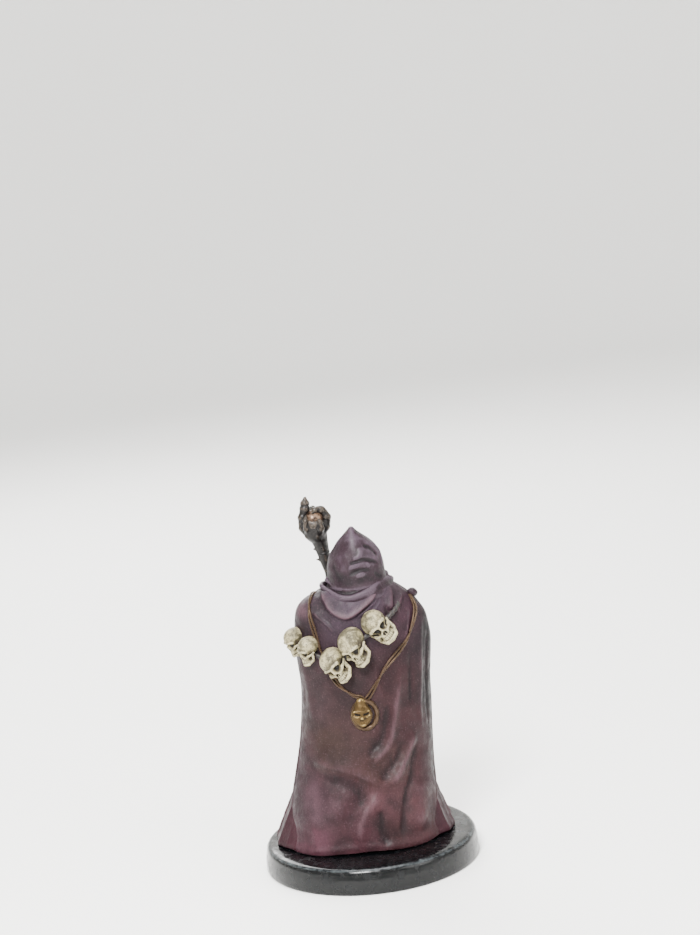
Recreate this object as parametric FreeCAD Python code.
"""Painted tabletop miniature: a hooded, robed figure with a claw-topped staff, glued on a round base.

Units are millimetres. Origin: centre of the base's underside. +Z is up, the figure faces -Y, and its left
hand is on the +X side. The body leans slightly towards -X as it rises.
"""

import FreeCAD
import Part
import math
import os

V = FreeCAD.Vector

# ---------------------------------------------------------------- driving dimensions
BASE_RADIUS = 12.7            # one-inch round base
BASE_HEIGHT = 3.0
BASE_EDGE_ROUND = 0.8
BASE_FOOT_CHAMFER = 0.25
RECESS_RADIUS = 10.9          # shallow pocket under the base
RECESS_DEPTH = 0.5
GLUE_GAP = 0.05               # radial room for glue round every locating peg

PEG_RADIUS = 1.5              # two pegs under the robe
PEG_DEPTH = 1.7
PEG_SPREAD = 4.2
PEG_Y = -1.2

NECK_RADIUS = 1.25
NECK_PEG_BOTTOM = 30.6
SHOULDER_PEG_RADIUS = 0.7
SHOULDER_PEG_LENGTH = 2.6

STAFF_RADIUS = 0.5
NECK_END_RADIUS = 0.85        # where the throat of the staff meets the claw
NECK_END_SHARE = 0.6          # place of that joint between the throat and the middle of the orb
ORB_RADIUS = 1.3
CLAW_FINGERS = 5
CLAW_FIRST_ANGLE = 20         # degrees from +X to the tall finger that stands up as a spike
CLAW_FINGER_RADII = [0.5, 0.42, 0.34, 0.18]
CLAW_SPIKE_TIP = 2.5          # heights of the finger tips over the middle of the orb
CLAW_FINGER_TIP = 1.35
FINGER_RING_RADIUS = 0.85     # four rings round the staff stand for the fingers of a fist
FINGER_RADIUS = 0.3
FINGER_PITCH = 0.5
WRIST_END_RADIUS = 0.85
SKULL_LENGTH = 4.9            # crown to chin
CHAIN_RADIUS = 0.26
CORD_RADIUS = 0.34

SECTION_POINTS = 36           # points round each section of a draped shape

# Each draped shape is a stack of sections:
# (height, centre x, half width, reach to the front, reach to the back)
ROBE = [
    (3.0, 0.3, 9.5, 8.2, 5.8),
    (6.0, 0.2, 8.6, 7.3, 5.2),
    (10.0, 0.0, 7.6, 6.4, 4.7),
    (14.0, -0.5, 6.9, 5.6, 4.3),
    (18.0, -0.9, 6.5, 5.0, 4.1),
    (22.0, -1.2, 6.1, 4.6, 4.0),
    (26.0, -1.3, 5.4, 4.3, 3.9),
    (29.0, -1.3, 4.9, 3.9, 3.5),
    (31.0, -1.3, 4.2, 3.3, 2.9),
    (32.6, -1.4, 2.9, 2.5, 2.2),
]
CAPE = [
    (3.0, 0.3, 10.5, 8.8, 7.4),
    (6.0, 0.2, 9.8, 7.8, 6.8),
    (10.0, -0.1, 8.8, 6.8, 6.2),
    (14.0, -0.6, 7.9, 6.0, 5.7),
    (18.0, -1.1, 7.6, 5.3, 5.4),
    (22.0, -1.35, 7.6, 4.8, 5.2),
    (26.0, -1.4, 7.9, 4.8, 4.9),
    (29.0, -1.35, 7.5, 4.6, 4.7),
    (31.0, -1.25, 6.5, 4.2, 4.2),
    (32.3, -1.2, 5.2, 3.6, 3.7),
    (33.4, -1.4, 3.4, 2.9, 2.9),
]
COWL = [
    (31.0, -1.3, 3.4, 3.2, 4.7),
    (31.9, -1.4, 4.5, 3.9, 4.9),
    (32.8, -1.5, 4.6, 3.9, 4.6),
    (33.7, -1.6, 4.0, 3.5, 4.1),
    (34.4, -1.6, 3.3, 3.0, 3.6),
]
HOOD = [
    (33.4, -1.6, 3.2, 2.9, 3.4),
    (34.4, -1.65, 3.25, 3.2, 3.5),
    (35.6, -1.7, 3.2, 3.5, 3.4),
    (36.8, -1.7, 2.95, 3.4, 3.2),
    (37.8, -1.6, 2.45, 2.9, 2.9),
    (38.7, -1.4, 1.65, 1.9, 2.5),
    (39.4, -1.25, 0.8, 0.5, 2.1),
    (39.8, -1.2, 0.3, -0.5, 1.6),
]
ROBE_FOLDS = 9                # soft pleats round the robe
ROBE_FOLD_DEPTH = 0.035       # share of the local radius, at the hem
CAPE_FOLDS = 7
CAPE_FOLD_DEPTH = 0.03
CAPE_FRONT_EDGE = -1.6        # the cape wraps round the arms to this y

HEAD_CENTRE = V(-1.75, -0.5, 35.7)
HEAD_RADIUS = 1.9
HEAD_HALF_HEIGHT = 2.45
NOSE_REACH = 0.3
NOSE_LENGTH = 0.7
BRIDGE_RADIUS = 0.2
NOSE_RADIUS = 0.32
HOOD_HOLLOW_CENTRE = V(-1.8, -1.7, 35.7)
HOOD_HOLLOW_RADIUS = 2.5
HOOD_HOLLOW_REACH = 3.9

# Staff centre line: foot, lower hand, upper hand, throat, head
STAFF_FOOT = V(-0.3, -9.6, 2.5)
STAFF_THROAT = V(1.55, -4.3, 34.2)
STAFF_HEAD = V(2.9, -4.0, 40.4)
LEFT_HAND_SHARE = 0.78        # place of each fist along the shaft
RIGHT_HAND_SHARE = 0.645
FIST_RADIUS = 1.2

LEFT_ARM = [V(2.9, -0.3, 30.3), V(4.3, -0.9, 28.2), V(4.8, -2.4, 25.0)]
RIGHT_ARM = [V(-5.6, -0.3, 30.3), V(-6.6, -0.9, 28.0), V(-6.8, -2.8, 24.6)]
SLEEVE_RADII = [1.2, 1.55, 1.8, 2.0]
WRIST_HOLLOW_RADIUS = 1.15
WRIST_HOLLOW_DEPTH = 1.6
CUFF_TO_GRIP = 1.5            # from the rim of the cuff to the middle of the fist

# Each skull: x and z of its centre, how far it stands off the cape, its size against the largest,
# then the lean of its crown towards +X and the turn of its face towards -X, both in degrees
SKULLS = [
    (6.3, 27.5, 1.2, 0.66, 8.0, -60.0),
    (5.0, 26.7, 0.8, 0.66, -10.0, -70.0),
    (1.85, 25.3, 0.9, 0.84, 42.0, -28.0),
    (-0.6, 27.3, 0.8, 0.9, 30.0, -32.0),
    (-3.3, 29.1, 0.9, 0.88, 46.0, 4.0),
]

# The chain hangs over both shoulders; x and z of each bend on the back of the cape
CHAIN_BENDS = [
    (3.85, 31.9), (4.3, 30.9), (4.25, 29.3), (3.7, 27.2), (2.3, 23.2), (0.6, 21.5),
    (-0.35, 21.1), (-1.2, 20.9), (-3.3, 23.8), (-5.2, 25.7), (-6.25, 26.8), (-7.0, 28.3), (-7.45, 29.9),
]
CORD_ENDS = [(5.6, 29.4), (-5.6, 30.6)]

PENDANT_CENTRE_X = -0.35
PENDANT_CENTRE_Z = 19.1
PENDANT_STANDOFF = 0.45
PENDANT_SIZE = (1.25, 0.6, 1.75)      # half sizes
PENDANT_EYE_PLACE = (0.48, 0.15)      # across and up from the middle of the mask
PENDANT_EYE_SIZE = (0.32, 0.3, 0.14)
PENDANT_LUG_RADIUS = 0.3
FRAME_RADIUS = 0.18
FRAME_REACH = (1.55, 1.9)     # half width and half height of the hoop behind the mask
FRAME_SHIFT = V(-0.35, -0.3, 0)
FRAME_POINTS = 12
TOGGLE_RADIUS = 0.62
TOGGLE_STEM_RADIUS = 0.35
TOGGLE_CENTRE = V(-7.65, 0.7, 31.4)
TOGGLE_ROOT = V(-6.4, 0.7, 30.6)


# ---------------------------------------------------------------- shape helpers
def section(height, centre_x, half_width, front, back, folds=0, depth=0.0):
    """One closed, smooth section of a draped shape: an egg with soft pleats."""
    points = []
    for i in range(SECTION_POINTS):
        angle = 2 * math.pi * i / SECTION_POINTS
        reach = back if math.sin(angle) > 0 else front
        pleat = 1 + depth * math.cos(folds * angle)
        x = centre_x + half_width * pleat * math.cos(angle)
        points.append(V(x, reach * pleat * math.sin(angle), height))
    curve = Part.BSplineCurve()
    curve.interpolate(Points=points, PeriodicFlag=True)
    return Part.Wire([curve.toShape()])


def draped(sections, folds=0, depth=0.0):
    """A solid lofted through a stack of sections, with pleats that fade towards the top."""
    low, high = sections[0][0], sections[-1][0]
    wires = []
    for row in sections:
        fade = 1 - (row[0] - low) / (high - low)
        wires.append(section(*row, folds=folds, depth=depth * fade))
    return Part.makeLoft(wires, True, False)


def on_cape(x, z, standoff=0.0):
    """The point on the back of the cape seen at x and z, moved out along +Y by the standoff."""
    for low, high in zip(CAPE, CAPE[1:]):
        if low[0] <= z <= high[0]:
            break
    share = (z - low[0]) / (high[0] - low[0])
    centre_x, half_width, back = (low[k] + share * (high[k] - low[k]) for k in (1, 2, 4))
    across = min(abs(x - centre_x) / half_width, 1.0)
    return V(x, back * math.sqrt(1 - across * across) + standoff, z)


def ellipsoid(centre, size):
    ball = Part.makeSphere(1.0)
    stretch = FreeCAD.Matrix()
    stretch.scale(*size)
    shape = ball.transformGeometry(stretch)
    shape.translate(centre)
    return shape


def rod(start, end, radius, end_radius=None):
    """A round rod from start to end, tapered if end_radius is given."""
    along = end - start
    if end_radius is None or abs(end_radius - radius) < 1e-6:
        return Part.makeCylinder(radius, along.Length, start, along)
    return Part.makeCone(radius, end_radius, along.Length, start, along)


def spheroid(centre, axis, across, along):
    """A ball stretched along one axis, turned up from half an ellipse."""
    curve = Part.Ellipse(V(0, 0, 0), along, across).toShape(0, math.pi)
    closing = Part.makeLine(V(-along, 0, 0), V(along, 0, 0))
    solid = Part.Face(Part.Wire([curve, closing])).revolve(V(0, 0, 0), V(1, 0, 0), 360)
    solid.Placement = FreeCAD.Placement(centre, FreeCAD.Rotation(V(1, 0, 0), axis))
    return solid


def bead_line(points, radius):
    """A round line through points: rods with balls at the bends."""
    pieces = [rod(a, b, radius) for a, b in zip(points, points[1:])]
    pieces += [Part.makeSphere(radius, p) for p in points]
    return pieces[0].multiFuse(pieces[1:]).removeSplitter()


def tube_through(points, radii):
    """A smooth tapered limb lofted through circles square to its path."""
    wires = []
    for i, (point, radius) in enumerate(zip(points, radii)):
        before = points[max(i - 1, 0)]
        after = points[min(i + 1, len(points) - 1)]
        wires.append(Part.Wire([Part.makeCircle(radius, point, after - before)]))
    return Part.makeLoft(wires, True, False)


def cut_all(shape, tools):
    """The shape with every tool cut away, one after the other, keeping its largest solid."""
    for tool in tools:
        shape = shape.cut(tool)
    return max(shape.Solids, key=lambda s: s.Volume)


def along_staff(share):
    """A point on the straight part of the staff, from its foot (0) to its throat (1)."""
    return STAFF_FOOT + (STAFF_THROAT - STAFF_FOOT) * share


# ---------------------------------------------------------------- sub-parts
def make_base():
    profile = Part.makePolygon([
        V(0, 0, 0), V(BASE_RADIUS - BASE_FOOT_CHAMFER, 0, 0), V(BASE_RADIUS, 0, BASE_FOOT_CHAMFER),
        V(BASE_RADIUS, 0, BASE_HEIGHT), V(0, 0, BASE_HEIGHT), V(0, 0, 0),
    ])
    disc = Part.Face(profile).revolve(V(0, 0, 0), V(0, 0, 1), 360)
    top = [e for e in disc.Edges if e.Closed and abs(e.Vertexes[0].Z - BASE_HEIGHT) < 1e-6]
    disc = disc.makeFillet(BASE_EDGE_ROUND, top)
    disc = disc.cut(Part.makeCylinder(RECESS_RADIUS, RECESS_DEPTH))
    for side in (-1, 1):
        place = V(side * PEG_SPREAD, PEG_Y, BASE_HEIGHT - PEG_DEPTH - GLUE_GAP)
        disc = disc.cut(Part.makeCylinder(PEG_RADIUS + GLUE_GAP, PEG_DEPTH + GLUE_GAP, place))
    staff_hole = rod(STAFF_FOOT, along_staff(0.2), STAFF_RADIUS + GLUE_GAP)
    return disc.cut(staff_hole)


def make_robe():
    robe = draped(ROBE, ROBE_FOLDS, ROBE_FOLD_DEPTH)
    for side in (-1, 1):
        place = V(side * PEG_SPREAD, PEG_Y, BASE_HEIGHT - PEG_DEPTH)
        robe = robe.fuse(Part.makeCylinder(PEG_RADIUS, PEG_DEPTH + 0.5, place))
    neck = V(HEAD_CENTRE.x, 0, NECK_PEG_BOTTOM - GLUE_GAP)
    robe = robe.cut(Part.makeCylinder(NECK_RADIUS + GLUE_GAP, 4.0, neck))
    for shoulder, side in ((LEFT_ARM[1], -1), (RIGHT_ARM[1], 1)):
        robe = robe.cut(shoulder_peg(shoulder, side, GLUE_GAP))
    return robe


def shoulder_peg(shoulder, side, extra):
    """The peg between a sleeve and the robe, or its socket when extra glue room is given."""
    length = SHOULDER_PEG_LENGTH + extra
    return Part.makeCylinder(SHOULDER_PEG_RADIUS + extra, length, shoulder, V(side, 0, 0))


def make_sleeve(arm, share, side, robe):
    """A hanging sleeve, open at the cuff, with the peg that locates it in the robe's shoulder."""
    hand = along_staff(share)
    reach = hand - arm[-1]
    cuff = arm[-1] + reach * (1 - CUFF_TO_GRIP / reach.Length)
    sleeve = tube_through(arm + [cuff], SLEEVE_RADII)
    hollow = cuff - reach * (WRIST_HOLLOW_DEPTH / reach.Length)
    sleeve = sleeve.cut(Part.makeCylinder(WRIST_HOLLOW_RADIUS, 3 * WRIST_HOLLOW_DEPTH, hollow, reach))
    sleeve = cut_all(sleeve, [robe])
    return sleeve.fuse(shoulder_peg(arm[1], side, 0.0)), hollow


def make_hand(share, hollow):
    """A fist closed round the staff, with the wrist that fills the sleeve's hollow."""
    centre = along_staff(share)
    axis = STAFF_THROAT - STAFF_FOOT
    axis.normalize()
    fist = Part.makeSphere(FIST_RADIUS, centre)
    for i in range(4):
        ring = centre + axis * (FINGER_PITCH * (i - 1.5))
        fist = fist.fuse(Part.makeTorus(FINGER_RING_RADIUS, FINGER_RADIUS, ring, axis))
    wrist = rod(hollow, centre, WRIST_HOLLOW_RADIUS - GLUE_GAP, WRIST_END_RADIUS)
    hand = fist.fuse(wrist)
    return hand.cut(rod(STAFF_FOOT, STAFF_THROAT, STAFF_RADIUS + 0.01))


def make_head():
    head = spheroid(HEAD_CENTRE, V(0, 0, 1), HEAD_RADIUS, HEAD_HALF_HEIGHT)
    bridge = HEAD_CENTRE + V(0, -HEAD_RADIUS + NOSE_REACH, NOSE_LENGTH)
    nose_tip = HEAD_CENTRE + V(0, -HEAD_RADIUS - NOSE_REACH, -NOSE_REACH / 2)
    head = head.fuse(rod(bridge, nose_tip, BRIDGE_RADIUS, NOSE_RADIUS))
    neck_foot = V(HEAD_CENTRE.x, 0, NECK_PEG_BOTTOM)
    return head.fuse(Part.makeCylinder(NECK_RADIUS, HEAD_CENTRE.z - NECK_PEG_BOTTOM, neck_foot))


def make_hood():
    hood = draped(HOOD)
    return hood.cut(spheroid(HOOD_HOLLOW_CENTRE, V(0, 1, 0), HOOD_HOLLOW_RADIUS, HOOD_HOLLOW_REACH))


def make_staff(neck_end):
    """The straight shaft and the throat that swells into the claw."""
    shaft = rod(STAFF_FOOT, STAFF_THROAT, STAFF_RADIUS)
    knee = Part.makeSphere(STAFF_RADIUS, STAFF_THROAT)
    neck = rod(STAFF_THROAT, neck_end, STAFF_RADIUS, NECK_END_RADIUS)
    return shaft.multiFuse([knee, neck])


def make_claw(neck_end):
    """Bent fingers that rise from the throat and close over the orb; the first is a tall spike."""
    cup_rise = STAFF_HEAD - neck_end
    cup = rod(neck_end, neck_end + cup_rise * 0.55, NECK_END_RADIUS, ORB_RADIUS)
    fingers = []
    for i in range(CLAW_FINGERS):
        angle = math.radians(360 / CLAW_FINGERS * i + CLAW_FIRST_ANGLE)
        out = V(math.cos(angle), math.sin(angle), 0)
        tip = CLAW_FINGER_TIP if i else CLAW_SPIKE_TIP
        path = [
            neck_end + cup_rise * 0.4 + out * (ORB_RADIUS * 0.54),
            STAFF_HEAD + out * (ORB_RADIUS * 1.22) + V(0, 0, -0.08 * ORB_RADIUS),
            STAFF_HEAD + out * (ORB_RADIUS * 0.72) + V(0, 0, 0.88 * ORB_RADIUS),
            STAFF_HEAD + out * (ORB_RADIUS * 0.35) + V(0, 0, tip),
        ]
        fingers.append(tube_through(path, CLAW_FINGER_RADII))
    claw = cup.multiFuse(fingers)
    return claw.cut(Part.makeSphere(ORB_RADIUS, STAFF_HEAD))


def make_skull(x, z, standoff, size, lean, turn):
    """Cranium, cheeks and jaw with sunken eyes and nose; it faces +Y before it is turned."""
    k = SKULL_LENGTH / 5.0 * size
    solid = spheroid(V(0, -0.1, 0.75) * k, V(0, 1, 0), 1.72 * k, 1.95 * k)
    solid = solid.fuse(spheroid(V(0, 0.85, -0.45) * k, V(1, 0, 0), 0.92 * k, 1.25 * k))
    jaw = Part.makeBox(1.7 * k, 1.3 * k, 1.5 * k, V(-0.85, 0.25, -2.45) * k)
    solid = solid.fuse(jaw.makeFillet(0.35 * k, jaw.Edges))
    for side in (-1, 1):
        solid = solid.cut(Part.makeSphere(0.5 * k, V(0.68 * side, 1.75, 0.15) * k))
    solid = solid.cut(Part.makeSphere(0.3 * k, V(0, 1.85, -0.65) * k))
    solid.rotate(V(0, 0, 0), V(0, 0, 1), turn)
    solid.rotate(V(0, 0, 0), V(0, 1, 0), lean)
    solid.translate(on_cape(x, z, standoff))
    return solid


def pendant_centre():
    return on_cape(PENDANT_CENTRE_X, PENDANT_CENTRE_Z, PENDANT_STANDOFF)


def make_pendant():
    """A small egg-shaped mask with two eye slots and a lug for the chain."""
    centre = pendant_centre()
    mask = ellipsoid(centre, PENDANT_SIZE)
    across, up = PENDANT_EYE_PLACE
    for side in (-1, 1):
        eye = centre + V(across * side, PENDANT_SIZE[1], up)
        mask = mask.cut(ellipsoid(eye, PENDANT_EYE_SIZE))
    return mask.fuse(Part.makeSphere(PENDANT_LUG_RADIUS, centre + V(0, -0.2, PENDANT_SIZE[2])))


def make_pendant_frame():
    """A pear-shaped wire hoop that hangs behind the mask."""
    centre = pendant_centre() + FRAME_SHIFT
    across, up = FRAME_REACH
    points = []
    for i in range(FRAME_POINTS):
        angle = 2 * math.pi * i / FRAME_POINTS
        points.append(centre + V(across * math.sin(angle), 0, up * math.cos(angle)))
    return bead_line(points + points[:1], FRAME_RADIUS)


def make_chain():
    return bead_line([on_cape(x, z, CHAIN_RADIUS) for x, z in CHAIN_BENDS], CHAIN_RADIUS)


def make_cord():
    """The cord the skulls are threaded on, through the middle of each."""
    beads = [on_cape(*row[:3]) for row in SKULLS]
    first, last = (on_cape(x, z, 0.0) for x, z in CORD_ENDS)
    return bead_line([first] + beads + [last], CORD_RADIUS)


def make_toggle():
    """The knob on the right shoulder, on a short stem."""
    knob = Part.makeSphere(TOGGLE_RADIUS, TOGGLE_CENTRE)
    return knob.fuse(rod(TOGGLE_CENTRE, TOGGLE_ROOT, TOGGLE_STEM_RADIUS))


def make_clothing(robe, head, sleeves):
    """The cape, the cowl round the neck and the hood, each fitted to what lies under it."""
    size = 4 * BASE_RADIUS
    wrap = Part.makeBox(size, size, size, V(-size / 2, CAPE_FRONT_EDGE, 0))
    cape = draped(CAPE, CAPE_FOLDS, CAPE_FOLD_DEPTH).common(wrap)
    cape = cut_all(cape, [robe] + sleeves)
    cowl = cut_all(draped(COWL), [robe, cape, head] + sleeves)
    hood = cut_all(make_hood(), [cowl, head, robe, cape])
    return cape, cowl, hood


def main():
    os.makedirs("parts", exist_ok=True)
    robe = make_robe()
    head = make_head()
    left_sleeve, left_hollow = make_sleeve(LEFT_ARM, LEFT_HAND_SHARE, -1, robe)
    right_sleeve, right_hollow = make_sleeve(RIGHT_ARM, RIGHT_HAND_SHARE, 1, robe)
    cape, cowl, hood = make_clothing(robe, head, [left_sleeve, right_sleeve])
    neck_end = STAFF_THROAT + (STAFF_HEAD - STAFF_THROAT) * NECK_END_SHARE

    chain = cut_all(make_chain(), [cowl])
    cord = cut_all(make_cord(), [cowl, chain])
    toggle = cut_all(make_toggle(), [robe, right_sleeve, cord, chain])
    cape = cut_all(cape, [chain, cord, toggle])

    cloth = [cape, cowl, left_sleeve, robe]
    skulls = []
    for row in SKULLS:
        skulls.append(cut_all(make_skull(*row), cloth + [chain, cord] + skulls))
    pendant = cut_all(make_pendant(), [cape, chain])
    hoop = cut_all(make_pendant_frame(), [cape, chain, pendant])

    parts = {
        "base_disc": make_base(),
        "robe_body": robe,
        "left_sleeve": left_sleeve,
        "right_sleeve": right_sleeve,
        "left_hand": make_hand(LEFT_HAND_SHARE, left_hollow),
        "right_hand": make_hand(RIGHT_HAND_SHARE, right_hollow),
        "staff_shaft": make_staff(neck_end),
        "staff_claw": make_claw(neck_end),
        "staff_orb": Part.makeSphere(ORB_RADIUS, STAFF_HEAD),
        "cape": cape,
        "cowl": cowl,
        "hood": hood,
        "head": head,
        "necklace_chain": chain,
        "skull_cord": cord,
        "shoulder_toggle": toggle,
        "pendant_mask": pendant,
        "pendant_frame": hoop,
    }
    for number, skull in enumerate(skulls, 1):
        parts["skull_%d" % number] = skull
    for name, shape in parts.items():
        print(name, "solids", len(shape.Solids), "valid", shape.isValid(), "volume", round(shape.Volume, 2))
        shape.exportStep("parts/%s.step" % name)


main()
